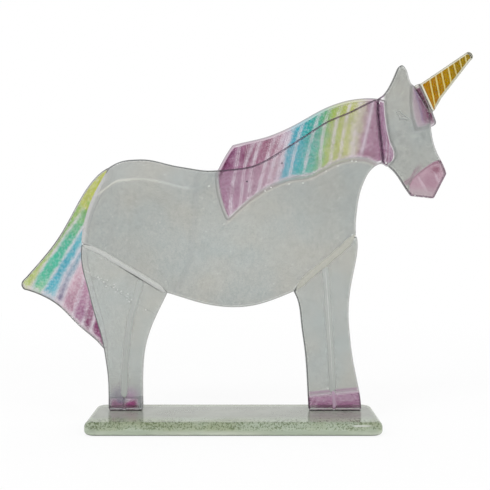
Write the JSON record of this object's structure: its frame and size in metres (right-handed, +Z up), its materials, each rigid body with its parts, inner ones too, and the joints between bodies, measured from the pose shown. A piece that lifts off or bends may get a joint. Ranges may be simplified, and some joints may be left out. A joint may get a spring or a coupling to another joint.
{
  "type": "glass unicorn figurine",
  "caption": "Standing unicorn figurine of fused sheet glass, with a striped mane and tail and a banded horn, on a clear glass bar.",
  "frame": {"origin": "on the table under the middle of the figure's length from tail tip to horn tip, and under the middle of the glass base's depth", "axes": "+X from the tail towards the head and horn, +Y from the decorated front to the back, +Z up"},
  "size_m": [0.2132, 0.045, 0.1749],
  "materials": {
    "grey_glass": "gloss",
    "clear_glass": "gloss",
    "base_glass": "gloss",
    "pink_glass": "gloss",
    "adhesive": "gloss",
    "tail_lime": "gloss",
    "tail_green": "gloss",
    "tail_blue": "gloss",
    "tail_slate": "gloss",
    "tail_pink": "gloss",
    "tail_mauve": "gloss",
    "tail_magenta": "gloss",
    "mane_magenta": "gloss",
    "mane_pink": "gloss",
    "mane_blue": "gloss",
    "mane_teal": "gloss",
    "mane_lime": "gloss",
    "mane_purple": "gloss",
    "mane_cheek": "gloss",
    "stripe_white": "gloss",
    "forelock_purple": "gloss",
    "horn_gold": "gloss",
    "horn_cream": "gloss",
    "hoof_purple": "gloss",
    "hoof_line": "gloss"
  },
  "bodies": {
    "root": {"torso_glass": "grey_glass", "hind_leg_rear_glass": "grey_glass", "hind_leg_front_glass": "grey_glass", "fore_leg_rear_glass": "grey_glass", "fore_leg_front_glass": "grey_glass", "head_glass": "grey_glass", "horn_glass": "clear_glass", "haunch_backing_glass": "clear_glass", "barrel_backing_glass": "clear_glass", "hind_leg_backing_glass": "clear_glass", "fore_leg_backing_glass": "clear_glass", "head_backing_glass": "clear_glass", "muzzle_pink_glass": "pink_glass", "horn_backing_glass": "clear_glass", "forelock_glass": "clear_glass", "mane_glass": "clear_glass", "tail_glass": "clear_glass", "tail_lime_glass": "tail_lime", "tail_green_glass": "tail_green", "tail_blue_glass": "tail_blue", "tail_slate_glass": "tail_slate", "tail_pink_glass": "tail_pink", "tail_mauve_glass": "tail_mauve", "tail_magenta_glass": "tail_magenta", "tail_white_stripes": "stripe_white", "mane_magenta_glass": "mane_magenta", "mane_pink_glass": "mane_pink", "mane_blue_glass": "mane_blue", "mane_teal_glass": "mane_teal", "mane_lime_glass": "mane_lime", "mane_purple_glass": "mane_purple", "mane_cheek_glass": "mane_cheek", "mane_white_stripes": "stripe_white", "forelock_purple_glass": "forelock_purple", "horn_gold_bands": "horn_gold", "horn_cream_stripes": "horn_cream", "hind_hoof_rear_glass": "hoof_purple", "hind_hoof_front_glass": "hoof_purple", "fore_hoof_rear_glass": "hoof_purple", "fore_hoof_front_glass": "hoof_purple", "fore_hoof_white_line": "hoof_line", "base_plate": "base_glass", "hind_foot_bond": "adhesive", "fore_foot_bond": "adhesive"}
  },
  "joints": []
}
